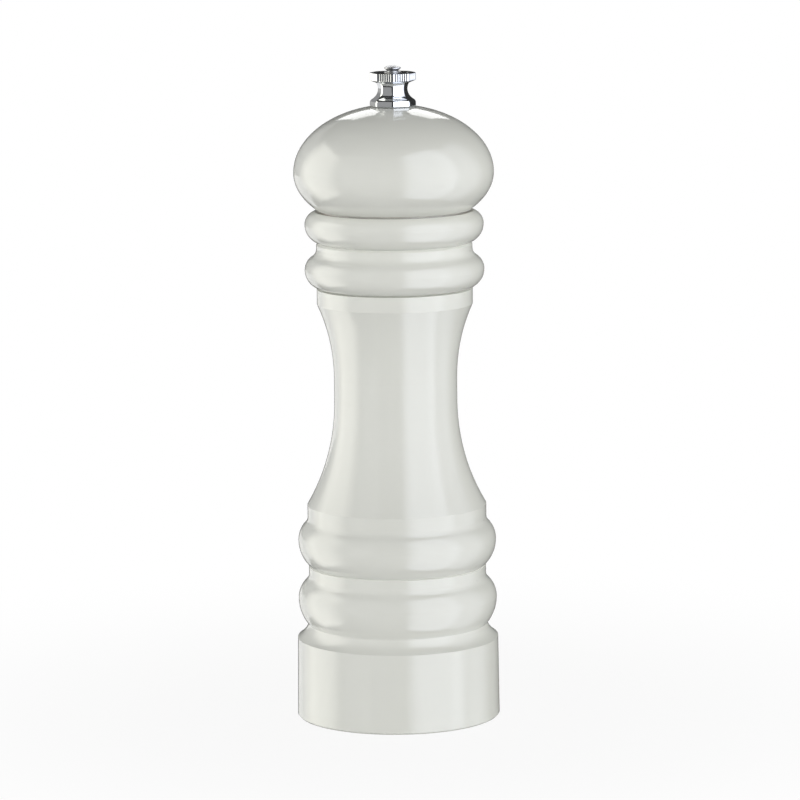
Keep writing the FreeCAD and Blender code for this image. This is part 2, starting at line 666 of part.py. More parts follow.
def grinder_spring():
    """One unbroken wire: straight for a wire's width at each end, wound on quarter turns between."""
    low_z = SPRING_Z + SPRING_END_GAP + SPRING_WIRE / 2
    high_z = BUSH_FLANGE_Z - SPRING_END_GAP - SPRING_WIRE / 2
    pitch = (high_z - low_z) / SPRING_TURNS

    def place(turns):
        angle = 2 * math.pi * turns
        return Vector(SPRING_R * math.cos(angle), SPRING_R * math.sin(angle), low_z + pitch * turns)

    def way(turns):
        angle = 2 * math.pi * turns
        return Vector(-math.sin(angle), math.cos(angle), pitch / (2 * math.pi * SPRING_R)).normalize()

    stops = [index / SPANS_PER_TURN for index in range(SPRING_TURNS * SPANS_PER_TURN + 1)]
    first = place(stops[0]) - way(stops[0]) * SPRING_WIRE
    last = place(stops[-1]) + way(stops[-1]) * SPRING_WIRE
    edges = [Part.LineSegment(first, place(stops[0])).toShape()]
    for begin, end in zip(stops, stops[1:]):
        edges += biarc(place(begin), way(begin), place(end), way(end))
    edges.append(Part.LineSegment(place(stops[-1]), last).toShape())
    path = Part.Wire(edges)
    points = [place(index / GAP_POINTS_PER_TURN) for index in range(SPRING_TURNS * GAP_POINTS_PER_TURN + 1)]
    gap = least_gap([first] + points + [last], GAP_POINTS_PER_TURN // 2)
    print(f"grinder_spring: least gap between turns {gap:.2f} mm")
    section = Part.Wire(Part.Circle(first, way(stops[0]), SPRING_WIRE / 2).toShape())
    spring = path.makePipeShell([section], True)
    wire_volume = math.pi * (SPRING_WIRE / 2) ** 2 * path.Length
    print(f"grinder_spring: volume over section times length {spring.Volume / wire_volume:.4f}")
    return spring


def bearing_bridge():
    """A ring, held between the housing and the body, with two arms and the bush's bearing."""
    height = BRIDGE_STOP_Z - BARREL_TOP_Z
    arm_z = BARREL_TOP_Z + BRIDGE_ARM_DROP
    arm_start = BRIDGE_HUB_R - OVERSHOOT
    arm_length = BRIDGE_RING_BORE_R + OVERSHOOT - arm_start
    arm_corner = Vector(arm_start, -BRIDGE_ARM_WIDTH / 2, arm_z)
    arm = Part.makeBox(arm_length, BRIDGE_ARM_WIDTH, BRIDGE_STOP_Z - arm_z, arm_corner)
    hub = ring(BRIDGE_HUB_R, BRIDGE_BORE_R, BARREL_TOP_Z, height)
    rim = ring(BARREL_R, BRIDGE_RING_BORE_R, BARREL_TOP_Z, height)
    return rim.fuse([hub] + around(arm, BRIDGE_ARMS)).removeSplitter()


def drive_bush():
    flange_top_z = BUSH_FLANGE_Z + BUSH_FLANGE_THICKNESS
    outline = Outline(0, BUSH_FLANGE_Z)
    outline.line(BUSH_FLANGE_R, BUSH_FLANGE_Z)
    outline.line(BUSH_FLANGE_R, flange_top_z)
    outline.line(BUSH_R, flange_top_z)
    outline.line(BUSH_R, BUSH_CLIP_Z)
    outline.line(BUSH_GROOVE_R, BUSH_CLIP_Z)
    outline.line(BUSH_GROOVE_R, BUSH_CLIP_Z + BUSH_CLIP_THICKNESS)
    outline.line(BUSH_R, BUSH_CLIP_Z + BUSH_CLIP_THICKNESS)
    outline.line(BUSH_R, BUSH_TOP_Z)
    outline.line(0, BUSH_TOP_Z)
    hole = square_bar(BAR_SIDE + SQUARE_PLAY, BUSH_FLANGE_Z, BUSH_TOP_Z - BUSH_FLANGE_Z)
    return outline.spun().cut(hole)


def bush_clip():
    mouth_corner = Vector(-BUSH_CLIP_MOUTH / 2, 0, BUSH_CLIP_Z)
    mouth = Part.makeBox(BUSH_CLIP_MOUTH, BUSH_CLIP_R, BUSH_CLIP_THICKNESS, mouth_corner)
    return ring(BUSH_CLIP_R, BUSH_GROOVE_R + CLIP_PLAY, BUSH_CLIP_Z, BUSH_CLIP_THICKNESS).cut(mouth)


PIECES = (
    mill_body, grinder_housing, stator_ring, stator_retainer, bearing_bridge, housing_screws,
    drive_bush, bush_clip,
    spindle, rotor_hub, rotor_cone, spring_washer, grinder_spring, end_washer, retaining_clip, keeper_clip,
    mill_head, drive_plate, drive_plate_screws,
    adjusting_nut,
)


def main():
    os.makedirs("parts", exist_ok=True)
    for make_piece in PIECES:
        shape = make_piece()
        shape.exportStep(f"parts/{make_piece.__name__}.step")
        print(f"{make_piece.__name__}: {len(shape.Solids)} solid, {shape.Volume / 1000:.3f} cm3")


main()
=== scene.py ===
# %% [markdown]
# # A turned pepper mill in ivory lacquer
# The mill stands 180 mm tall: a wooden body, a wooden head that is twisted to grind, and a small chromed
# nut on top that sets how fine it grinds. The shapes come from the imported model. This lesson gives every
# piece its finish, rounds and knurls the nut, cuts the thread of the spindle, and sets up a small photo
# studio around the mill.

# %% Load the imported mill
import math

import bmesh
import bpy
from mathutils import Matrix, Vector


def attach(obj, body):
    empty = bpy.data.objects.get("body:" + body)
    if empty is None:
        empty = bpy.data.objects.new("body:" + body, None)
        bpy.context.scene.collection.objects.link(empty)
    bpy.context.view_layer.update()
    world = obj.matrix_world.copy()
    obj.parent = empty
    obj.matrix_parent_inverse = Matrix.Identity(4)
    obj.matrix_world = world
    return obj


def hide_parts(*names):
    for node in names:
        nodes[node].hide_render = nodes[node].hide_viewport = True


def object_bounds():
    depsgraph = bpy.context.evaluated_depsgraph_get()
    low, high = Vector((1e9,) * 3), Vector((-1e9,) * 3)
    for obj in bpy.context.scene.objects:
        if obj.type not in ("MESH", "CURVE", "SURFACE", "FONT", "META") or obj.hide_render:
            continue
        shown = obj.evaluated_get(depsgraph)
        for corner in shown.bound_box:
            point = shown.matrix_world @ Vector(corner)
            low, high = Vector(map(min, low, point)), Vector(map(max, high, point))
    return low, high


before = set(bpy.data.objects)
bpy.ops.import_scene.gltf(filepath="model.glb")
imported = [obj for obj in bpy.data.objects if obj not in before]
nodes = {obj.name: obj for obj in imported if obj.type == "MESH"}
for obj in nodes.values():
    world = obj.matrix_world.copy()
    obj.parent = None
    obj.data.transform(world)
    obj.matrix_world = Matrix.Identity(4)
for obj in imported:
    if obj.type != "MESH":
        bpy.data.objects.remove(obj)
cad_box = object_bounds()
mill_height = cad_box[1].z
print(len(nodes), "pieces,", round(mill_height * 1000, 1), "mm tall")

# %% [markdown]
# ## Colours and nodes
# A colour picked from a photograph is an sRGB value, but shaders work in linear light, so one function
# turns a hex value into a linear one. Materials are built from nodes. One small function adds a node,
# sets its properties, and fills each input either with a number or with a link from another node.

# %% Helpers for colours, lengths and nodes
MM = 0.001


def linear(hex_colour):
    """An sRGB hex value such as E0E0DA as the linear colour that a shader takes."""
    shares = [int(hex_colour[start:start + 2], 16) / 255 for start in (0, 2, 4)]
    return [s / 12.92 if s <= 0.04045 else ((s + 0.055) / 1.055) ** 2.4 for s in shares] + [1.0]


def per_metre(millimetres):
    """The scale of a pattern whose features are this far apart."""
    return 1 / (millimetres * MM)


def add_node(tree, kind, inputs=None, output=0, **settings):
    """One node: an input is a number or another node's output, and settings are the node's properties.

    It returns the output that is asked for, or all of them where output is None.
    """
    node = tree.nodes.new(kind)
    for name, value in settings.items():
        setattr(node, name, value)
    for name, value in (inputs or {}).items():
        if isinstance(value, bpy.types.NodeSocket):
            tree.links.new(value, node.inputs[name])
        else:
            node.inputs[name].default_value = value
    return node.outputs if output is None else node.outputs[output]


def new_material(name):
    """An empty node material, and the piece's own coordinates in metres, which move with the piece."""
    material = bpy.data.materials.new(name)
    material.use_nodes = True
    tree = material.node_tree
    tree.nodes.clear()
    place = add_node(tree, "ShaderNodeTexCoord", output="Object")
    return material, tree, place


print("mid grey 808080 is", round(linear("808080")[0], 3), "in linear light")

# %% [markdown]
# ## Bare beech
# The mill is turned from beech. Where no lacquer reaches, the wood shows: pale, a little pink, with
# growth rings some 2.5 mm apart and short dark flecks along the grain. The grain runs along the axis of
# the lathe. Rings could be painted, but a wave pattern about a pith beside the mill gives straight lines
# on the long walls and arcs on the end grain, as sawing and turning really do.

# %% Beech grain
BEECH_PALE = "DDBB95"
BEECH_RING = "CDA57B"
BEECH_FLECK = "A9794F"
RING_SPACING_MM = 2.5
FLECK_WIDTH_MM = 0.45
FLECK_LENGTH_MM = 4.0
PITH_X_MM = 46.0
# At a scale of 1 the rings of a wave texture lie this far apart, in metres
WAVE_SPACING = math.tau / 20


def beech_grain(tree, place):
    """The colour of bare beech, and a height for the pores along its flecks."""
    beside_pith = add_node(tree, "ShaderNodeMapping", {"Vector": place, "Location": (PITH_X_MM * MM, 0, 0)})
    rings = add_node(tree, "ShaderNodeTexWave", {
        "Vector": beside_pith, "Scale": WAVE_SPACING * per_metre(RING_SPACING_MM), "Distortion": 2.5,
        "Detail": 2.0, "Detail Scale": 0.6}, wave_type="RINGS", rings_direction="Z", wave_profile="SAW")
    across = per_metre(FLECK_WIDTH_MM)
    stretched = add_node(tree, "ShaderNodeMapping", {
        "Vector": place, "Scale": (across, across, per_metre(FLECK_LENGTH_MM))})
    flecks = add_node(tree, "ShaderNodeTexNoise", {"Vector": stretched, "Scale": 1.0, "Detail": 2.0})
    fleck_share = add_node(tree, "ShaderNodeMapRange", {0: flecks, 1: 0.52, 2: 0.72, 3: 0.0, 4: 0.8})
    ringed = add_node(tree, "ShaderNodeMixRGB", {
        "Fac": rings, "Color1": linear(BEECH_PALE), "Color2": linear(BEECH_RING)})
    colour = add_node(tree, "ShaderNodeMixRGB", {
        "Fac": fleck_share, "Color1": ringed, "Color2": linear(BEECH_FLECK)})
    return colour, fleck_share


print("beech rings every", RING_SPACING_MM, "mm")

# %% [markdown]
# ## Ivory lacquer
# The outside is sprayed with an opaque ivory lacquer and polished to a high gloss. A lacquer is a clear
# binder full of pigment: an IOR of 1.5 gives its sharp reflections, the pigment its even colour. What
# gives it away as sprayed is orange peel, a swell of a few millimetres and a few micrometres deep, that
# softens each reflection. A slightly darker grey is painted into the slot of the seam as painted shade,
# to deepen the shadow line there. One function makes the finish of both wooden pieces: zones of radius
# and height tell it where the wood was left bare and where the painted seam shade lies. A painted mask
# would do the same, but zones stay sharp in a close view.

# %% Ivory gloss lacquer on beech
LACQUER_IVORY = "DDDED8"
LACQUER_CLOUD = "D8D9D2"
# Painted shade: a slightly darker grey laid into the slot of the seam to deepen its shadow line
SEAM_PAINTED_SHADE = "D2D1CB"
PEEL_MM = 2.2
CLOUD_MM = 30.0
RELIEF_MM = 0.03
LACQUER_IOR = 1.5
LACQUER_ROUGHNESS = 0.08
BEECH_ROUGHNESS = 0.62
# A zone lies inside a radius and between a low and a high level
BODY_BARE_ZONES_MM = ((16.4, 0.0, 140.9), (23.4, 0.0, 38.2), (20.1, 140.9, 142.0))
HEAD_BARE_ZONES_MM = ((4.8, 120.0, 180.0), (20.0, 120.0, 141.4))
# Where the painted seam shade lies on the body and on the head: radius, low and high level
BODY_SEAM_SHADE_ZONE_MM = (21.78, 140.5, 140.99)
HEAD_SEAM_SHADE_ZONE_MM = (21.42, 141.04, 141.06)
ZONE_SLACK = 0.01 * MM


def zone_share(tree, radius, height, zone):
    """1 inside a zone, and 0 elsewhere."""
    reach, low, high = [size * MM for size in zone]
    inside = add_node(tree, "ShaderNodeMath", {0: radius, 1: reach}, operation="LESS_THAN")
    above = add_node(tree, "ShaderNodeMath", {0: height, 1: low - ZONE_SLACK}, operation="GREATER_THAN")
    below = add_node(tree, "ShaderNodeMath", {0: height, 1: high}, operation="LESS_THAN")
    between = add_node(tree, "ShaderNodeMath", {0: above, 1: below}, operation="MULTIPLY")
    return add_node(tree, "ShaderNodeMath", {0: inside, 1: between}, operation="MULTIPLY")


def lacquered_beech(name, bare_zones, seam_shade_zone):
    material, tree, place = new_material(name)
    flat = add_node(tree, "ShaderNodeVectorMath", {0: place, 1: (1, 1, 0)}, operation="MULTIPLY")
    radius = add_node(tree, "ShaderNodeVectorMath", {0: flat}, output="Value", operation="LENGTH")
    height = add_node(tree, "ShaderNodeSeparateXYZ", {0: place}, output="Z")
    bare = 0.0
    for zone in bare_zones:
        share = zone_share(tree, radius, height, zone)
        bare = add_node(tree, "ShaderNodeMath", {0: bare, 1: share}, operation="MAXIMUM")
    wood, pores = beech_grain(tree, place)
    peel = add_node(tree, "ShaderNodeTexNoise", {
        "Vector": place, "Scale": per_metre(PEEL_MM), "Detail": 1.0})
    cloud = add_node(tree, "ShaderNodeTexNoise", {"Vector": place, "Scale": per_metre(CLOUD_MM)})
    ivory = add_node(tree, "ShaderNodeMixRGB", {
        "Fac": cloud, "Color1": linear(LACQUER_IVORY), "Color2": linear(LACQUER_CLOUD)})
    # Painted shade: inside the seam zone the ivory is mixed toward the darker grey
    seam_shade = zone_share(tree, radius, height, seam_shade_zone)
    seam_shaded = add_node(tree, "ShaderNodeMixRGB", {
        "Fac": seam_shade, "Color1": ivory, "Color2": linear(SEAM_PAINTED_SHADE)})
    colour = add_node(tree, "ShaderNodeMixRGB", {"Fac": bare, "Color1": seam_shaded, "Color2": wood})
    roughness = add_node(tree, "ShaderNodeMapRange", {0: bare, 3: LACQUER_ROUGHNESS, 4: BEECH_ROUGHNESS})
    relief = add_node(tree, "ShaderNodeMixRGB", {"Fac": bare, "Color1": peel, "Color2": pores})
    bump = add_node(tree, "ShaderNodeBump", {
        "Height": relief, "Strength": 0.12, "Distance": RELIEF_MM * MM})
    shader = add_node(tree, "ShaderNodeBsdfPrincipled", {
        "Base Color": colour, "Roughness": roughness, "IOR": LACQUER_IOR, "Normal": bump})
    add_node(tree, "ShaderNodeOutputMaterial", {"Surface": shader}, output=None)
    return material


def wear(piece, material):
    """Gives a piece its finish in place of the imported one."""
    piece.data.materials.clear()
    piece.data.materials.append(material)


body_finish = lacquered_beech("ivory_gloss_lacquer_on_beech_body", BODY_BARE_ZONES_MM, BODY_SEAM_SHADE_ZONE_MM)
head_finish = lacquered_beech("ivory_gloss_lacquer_on_beech_head", HEAD_BARE_ZONES_MM, HEAD_SEAM_SHADE_ZONE_MM)
wear(nodes["mill_body"], body_finish)
wear(nodes["mill_head"], head_finish)
print("lacquered the body and the head")

# %% [markdown]
# ## Chrome
# The nut is brass with a polished chrome plate: almost a mirror, a touch blue, with faint cloudy marks
# from the buffing wheel that shift its gloss and dimple it by a micrometre or two.

# %% Polished chrome plate
CHROME = "D3D5D7"
BUFFING_MM = 1.2


def chrome_plate(name):
    material, tree, place = new_material(name)
    marks = add_node(tree, "ShaderNodeTexNoise", {
        "Vector": place, "Scale": per_metre(BUFFING_MM), "Detail": 4.0})
    roughness = add_node(tree, "ShaderNodeMapRange", {0: marks, 1: 0.3, 2: 0.7, 3: 0.03, 4: 0.12})
    bump = add_node(tree, "ShaderNodeBump", {"Height": marks, "Strength": 0.1, "Distance": 0.004 * MM})
    shader = add_node(tree, "ShaderNodeBsdfPrincipled", {
        "Base Color": linear(CHROME), "Metallic": 1.0, "Roughness": roughness, "Normal": bump})
    add_node(tree, "ShaderNodeOutputMaterial", {"Surface": shader}, output=None)
    return material


chrome = chrome_plate("polished_chrome_plate")
print("chrome with marks every", BUFFING_MM, "mm")

# %% [markdown]
# ## The knurled nut
# Polishing and plating round the eight corners of the nut, and its rim has a fine upright knurl for the
# fingers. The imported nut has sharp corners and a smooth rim. A bump would not round a corner, so the nut
# is drawn again as rings of points. Its side outline is read from the points along one corner of the
# packed nut. Each ring is an octagon with round corners, and on the rim its facets sink between ribs.

# %% Rounded and knurled nut
NUT_SIDES = 8
CORNER_ROUND = 1.2 * MM
CORNER_STEPS = 8
RIBS_PER_FACET = 6
STEPS_PER_RIB = 6
RIB_HEIGHT = 0.2 * MM
RIB_RUN_OUT = 0.2 * MM
RIM_LOW = 176.4 * MM
RIM_HIGH = 178.35 * MM
DISH_R = 4.6 * MM
DISH_FLOOR_R = 2.9 * MM
DISH_DEPTH = 1.4 * MM
BORE_R = 2.52 * MM
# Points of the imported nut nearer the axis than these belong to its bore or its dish
LEAST_CORNER_R = 3.6 * MM
LEAST_RIM_R = DISH_R + 0.1 * MM
CORNER_SLACK = 0.001 * MM
HALF_FACET = math.pi / NUT_SIDES
SHARP_ANGLE = math.radians(30)


def corner_outline(mesh):
    """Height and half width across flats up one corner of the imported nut."""
    heights = {}
    for vert in mesh.vertices:
        radius = math.hypot(vert.co.x, vert.co.y)
        least = LEAST_RIM_R if vert.co.z > RIM_LOW else LEAST_CORNER_R
        on_corner = radius > least and abs(vert.co.y) < CORNER_SLACK and vert.co.x > 0
        if on_corner:
            height = round(vert.co.z, 6)
            heights[height] = max(heights.get(height, 0.0), radius * math.cos(HALF_FACET))
    return sorted(heights.items())


def nut_ring(flat, z, rib_height):
    """One octagon with round corners, whose facets sink between the ribs where it has any."""
    points = []
    half_side = (flat - CORNER_ROUND) * math.tan(HALF_FACET)
    steps = RIBS_PER_FACET * STEPS_PER_RIB
    for side in range(NUT_SIDES):
        facing = Matrix.Rotation((2 * side + 1) * HALF_FACET, 3, "Z")
        for step in range(steps):
            share = step / steps
            sink = rib_height / 2 * (1 - math.cos(math.tau * share * RIBS_PER_FACET))
            points.append(facing @ Vector((flat - sink, half_side * (2 * share - 1), z)))
        for step in range(CORNER_STEPS):
            turn = 2 * HALF_FACET * step / CORNER_STEPS
            across = flat - CORNER_ROUND + CORNER_ROUND * math.cos(turn)
            points.append(facing @ Vector((across, half_side + CORNER_ROUND * math.sin(turn), z)))
    return points


def round_ring(radius, z, like):
    """One circle whose points stand at the same angles as those of another ring."""
    return [Vector((point.x, point.y, 0)).normalized() * radius + Vector((0, 0, z)) for point in like]


def knurled_nut():
    outline = corner_outline(nodes["adjusting_nut"].data)
    flat = max(half_width for z, half_width in outline)
    outline += [(RIM_LOW + RIB_RUN_OUT, flat), (RIM_HIGH - RIB_RUN_OUT, flat)]
    rings = []
    for z, half_width in sorted(outline):
        ribbed = RIM_LOW + RIB_RUN_OUT / 2 < z < RIM_HIGH - RIB_RUN_OUT / 2
        rings.append(nut_ring(half_width, z, RIB_HEIGHT if ribbed else 0.0))
    foot = outline[0][0]
    top = max(z for z, half_width in outline)
    inside = ((DISH_R, top), (DISH_FLOOR_R, top - DISH_DEPTH), (BORE_R, top - DISH_DEPTH), (BORE_R, foot))
    rings += [round_ring(radius, z, rings[0]) for radius, z in inside]
    count = len(rings[0])
    faces = []
    for row in range(len(rings)):
        after = (row + 1) % len(rings)
        for step in range(count):
            onward = (step + 1) % count
            low = (row * count + step, row * count + onward)
            high = (after * count + onward, after * count + step)
            faces.append(low + high)
    mesh = bpy.data.meshes.new("knurled_nut")
    mesh.from_pydata([point for ring in rings for point in ring], [], faces)
    mesh.shade_smooth()
    mesh.set_sharp_from_angle(angle=SHARP_ANGLE)
    piece = bpy.data.objects.new("knurled_nut", mesh)
    bpy.context.scene.collection.objects.link(piece)
    return piece


nut = knurled_nut()
wear(nut, chrome)
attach(nut, "nut")
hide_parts("adjusting_nut")
print("nut of", len(nut.data.polygons), "faces with", NUT_SIDES * RIBS_PER_FACET, "ribs")

# %% [markdown]
# ## Steels
# The spindle is cold-drawn bright steel: the die leaves fine lines along the bar. The plates, washers
# and screws are zinc plated, with a dull sheen that shifts from bluish to straw. The clips and the spring
# are darker spring steel. All are metals, so they differ in colour, in roughness and in the direction
# of their marks. One function makes them from those values.

# %% Drawn steel, zinc plate and spring steel
PLATES_AND_WASHERS = ("stator_retainer", "drive_plate", "end_washer", "spring_washer")
WOOD_SCREWS = ("housing_screws", "drive_plate_screws")
CLIPS_AND_SPRING = ("bush_clip", "retaining_clip", "keeper_clip", "grinder_spring")


def marked_metal(name, colour, tint, mark_mm, rough_low, rough_high):
    """A metal whose marks are as long as mark_mm says in x, y and z, and shift its colour and gloss."""
    material, tree, place = new_material(name)
    scale = [per_metre(size) for size in mark_mm]
    stretched = add_node(tree, "ShaderNodeMapping", {"Vector": place, "Scale": scale})
    marks = add_node(tree, "ShaderNodeTexNoise", {"Vector": stretched, "Scale": 1.0, "Detail": 5.0})
    shade = add_node(tree, "ShaderNodeMixRGB", {
        "Fac": marks, "Color1": linear(colour), "Color2": linear(tint)})
    roughness = add_node(tree, "ShaderNodeMapRange", {
        0: marks, 1: 0.3, 2: 0.7, 3: rough_low, 4: rough_high})
    bump = add_node(tree, "ShaderNodeBump", {"Height": marks, "Strength": 0.2, "Distance": 0.004 * MM})
    shader = add_node(tree, "ShaderNodeBsdfPrincipled", {
        "Base Color": shade, "Metallic": 1.0, "Roughness": roughness, "Normal": bump})
    add_node(tree, "ShaderNodeOutputMaterial", {"Surface": shader}, output=None)
    return material


drawn_steel = marked_metal("cold_drawn_bright_steel", "B9BABB", "A3A4A6", (0.3, 0.3, 25.0), 0.28, 0.46)
zinc_plate = marked_metal("zinc_plate_on_stamped_steel", "B4BAC0", "BDB9A8", (2.5, 2.5, 2.5), 0.28, 0.46)
spring_steel = marked_metal("oiled_spring_steel", "8B8C8E", "77736C", (1.5, 1.5, 1.5), 0.22, 0.40)
for name in PLATES_AND_WASHERS + WOOD_SCREWS:
    wear(nodes[name], zinc_plate)
for name in CLIPS_AND_SPRING:
    wear(nodes[name], spring_steel)
print("three steels")

# %% [markdown]
# ## Acetal and ceramic
# The grinder's housing, bridge, bush and hub are moulded in black acetal, with the fine grain that a
# spark-eroded mould leaves. The two grinding pieces are sintered ceramic: off-white, dense, with a faint
# speckle of grains and a half-matt face as it comes from the kiln.

# %% Black acetal and white ceramic
ROUGHNESS_SPREAD = 0.08


def grained(name, colour, fleck, grain_mm, roughness, relief_mm, ior):
    """A solid material with a fine grain that shifts its colour a little and roughens its face."""
    material, tree, place = new_material(name)
    grain = add_node(tree, "ShaderNodeTexNoise", {
        "Vector": place, "Scale": per_metre(grain_mm), "Detail": 4.0})
    spread = add_node(tree, "ShaderNodeMapRange", {0: grain, 1: 0.35, 2: 0.65})
    shade = add_node(tree, "ShaderNodeMixRGB", {
        "Fac": spread, "Color1": linear(colour), "Color2": linear(fleck)})
    gloss = add_node(tree, "ShaderNodeMapRange", {
        0: grain, 1: 0.3, 2: 0.7, 3: roughness - ROUGHNESS_SPREAD, 4: roughness + ROUGHNESS_SPREAD})
    bump = add_node(tree, "ShaderNodeBump", {
        "Height": grain, "Strength": 0.4, "Distance": relief_mm * MM})
    shader = add_node(tree, "ShaderNodeBsdfPrincipled", {
        "Base Color": shade, "Roughness": gloss, "IOR": ior, "Normal": bump})
    add_node(tree, "ShaderNodeOutputMaterial", {"Surface": shader}, output=None)
    return material


acetal = grained("black_moulded_acetal", "2A2B2D", "343537", 0.5, 0.48, 0.02, 1.48)
ceramic = grained("sintered_white_ceramic", "EAE6DB", "DAD5C8", 0.7, 0.42, 0.01, 1.76)
for name in ("grinder_housing", "bearing_bridge", "drive_bush", "rotor_hub"):
    wear(nodes[name], acetal)
for name in ("stator_ring", "rotor_cone"):
    wear(nodes[name], ceramic)
print("acetal and ceramic inside the grinder")

# %% [markdown]
# ## The threaded spindle
# The top of the spindle carries a thread of 5 mm with a pitch of 0.8 mm, and it shows when the head is
# lifted off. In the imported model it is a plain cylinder. A bump could fake it, but the outline would stay
# straight, so the thread is built as a real surface: rings of points climb one pitch per turn, and their
# radius steps between root and crest. The rest of the bar is taken over as it is.

# %% Cut the thread
PITCH = 0.8 * MM
CREST_R = 2.45 * MM
ROOT_R = 2.05 * MM
THREAD_LOW = 157.0 * MM
THREAD_HIGH = 178.6 * MM
THREAD_PROFILE = ((0.0, CREST_R), (0.125, CREST_R), (0.45, ROOT_R), (0.675, ROOT_R))
SEGMENTS = 32
CYLINDER_SLACK = 0.1 * MM
WELD_DISTANCE = 0.002 * MM


def on_thread_cylinder(face):
    """Whether a face of the plain bar lies on the cylinder that the thread takes the place of."""
    middle = face.calc_center_median()
    radius = math.hypot(middle.x, middle.y)
    upright = abs(face.normal.z) < 0.5
    return upright and THREAD_LOW < middle.z < THREAD_HIGH and ROOT_R < radius < CREST_R + CYLINDER_SLACK


def thread_rings():
    """Rows of (height share, radius) up the thread, one pitch after another."""
    turns = math.ceil((THREAD_HIGH - THREAD_LOW) / PITCH) + 1
    return [(turn - 1 + share, radius) for turn in range(turns + 1) for share, radius in THREAD_PROFILE]


def threaded_spindle():
    builder = bmesh.new()
    builder.from_mesh(nodes["spindle"].data)
    plain = [face for face in builder.faces if on_thread_cylinder(face)]
    bmesh.ops.delete(builder, geom=plain, context="FACES")
    rows = []
    for climb, radius in thread_rings():
        row = []
        for step in range(SEGMENTS + 1):
            turn = step / SEGMENTS
            z = THREAD_LOW + (climb + turn) * PITCH
            inside = THREAD_LOW < z < THREAD_HIGH
            reach = radius if inside else CREST_R
            z = min(max(z, THREAD_LOW), THREAD_HIGH)
            angle = turn * math.tau
            row.append(builder.verts.new((reach * math.cos(angle), reach * math.sin(angle), z)))
        rows.append(row)
    for low_row, high_row in zip(rows, rows[1:]):
        for step in range(SEGMENTS):
            builder.faces.new((low_row[step], low_row[step + 1], high_row[step + 1], high_row[step]))
    bmesh.ops.remove_doubles(builder, verts=[vert for row in rows for vert in row], dist=WELD_DISTANCE)
    mesh = bpy.data.meshes.new("threaded_spindle")
    builder.to_mesh(mesh)
    builder.free()
    spindle = bpy.data.objects.new("threaded_spindle", mesh)
    bpy.context.scene.collection.objects.link(spindle)
    return spindle


spindle = threaded_spindle()
wear(spindle, drawn_steel)
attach(spindle, "shaft")
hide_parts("spindle")
print("thread of", len(spindle.data.polygons), "faces")

# %% [markdown]
# ## Floor and backdrop
# The mill stands on a plain white sweep, and to the camera the world is plain white at a strength of 1.
# The soft light comes from the world too: a bright ring at the horizon that fades upwards and leans a
# little to the right, as tall white panels around a table would give. The floor is white paper that
# catches the mill's soft shadow close to the base and blends into the same white further out, so no
# horizon shows.

# %% White floor and world
PAPER = "F4F4F4"
WHITE = "FFFFFF"
SHADOW_START = 0.03
SHADOW_REACH = 0.22
SHADOW_SHARE = 0.12
FLOOR_HALF_SIZE = 4.0
HORIZON_LIGHT = 2.78
RIGHT_LEAN = 0.08
FADE_OUT = 0.8


def stage_mesh(name, corners, faces):
    """A plain sheet of the studio, which is no part of the mill."""
    mesh = bpy.data.meshes.new(name)
    mesh.from_pydata(corners, [], faces)
    sheet = bpy.data.objects.new(name, mesh)
    bpy.context.scene.collection.objects.link(sheet)
    return sheet


def seen_directly(tree):
    """1 for what the camera sees, directly, in gloss or through glass, and 0 for soft light."""
    rays = add_node(tree, "ShaderNodeLightPath", output=None)
    seen = rays["Is Camera Ray"]
    for kind in ("Is Glossy Ray", "Is Transmission Ray"):
        seen = add_node(tree, "ShaderNodeMath", {0: seen, 1: rays[kind]}, operation="MAXIMUM")
    return seen


def white_floor():
    material, tree, place = new_material("white_paper_sweep")
    distance = add_node(tree, "ShaderNodeVectorMath", {0: place}, output="Value", operation="LENGTH")
    white_share = add_node(tree, "ShaderNodeMapRange", {
        0: distance, 1: SHADOW_START, 2: SHADOW_REACH, 3: 1 - SHADOW_SHARE, 4: 1.0},
        interpolation_type="SMOOTHSTEP")
    share = add_node(tree, "ShaderNodeMath", {0: seen_directly(tree), 1: white_share}, operation="MULTIPLY")
    paper = add_node(tree, "ShaderNodeBsdfDiffuse", {"Color": linear(PAPER)})
    glow = add_node(tree, "ShaderNodeEmission", {"Color": linear(WHITE), "Strength": 1.0})
    surface = add_node(tree, "ShaderNodeMixShader", {0: share, 1: paper, 2: glow})
    add_node(tree, "ShaderNodeOutputMaterial", {"Surface": surface}, output=None)
    return material


half = FLOOR_HALF_SIZE
floor_corners = [(-half, -half, 0), (half, -half, 0), (half, half, 0), (-half, half, 0)]
floor = stage_mesh("floor", floor_corners, [(0, 1, 2, 3)])
wear(floor, white_floor())
floor.visible_glossy = False

world = bpy.data.worlds.new("white_studio")
world.use_nodes = True
tree = world.node_tree
tree.nodes.clear()
way = add_node(tree, "ShaderNodeTexCoord", output="Generated")
axes = add_node(tree, "ShaderNodeSeparateXYZ", {0: way}, output=None)
fading = add_node(tree, "ShaderNodeMapRange", {0: axes["Z"], 1: 0.0, 2: FADE_OUT, 3: HORIZON_LIGHT, 4: 0.0})
lean = add_node(tree, "ShaderNodeMath", {0: axes["X"], 1: RIGHT_LEAN, 2: 1.0}, operation="MULTIPLY_ADD")
strength = add_node(tree, "ShaderNodeMath", {0: fading, 1: lean}, operation="MULTIPLY")
white = add_node(tree, "ShaderNodeBackground", {"Color": linear(WHITE), "Strength": 1.0})
soft = add_node(tree, "ShaderNodeBackground", {"Color": linear(WHITE), "Strength": strength})
both = add_node(tree, "ShaderNodeMixShader", {0: seen_directly(tree), 1: soft, 2: white})
add_node(tree, "ShaderNodeOutputWorld", {"Surface": both}, output=None)
bpy.context.scene.world = world
print("white floor and world")

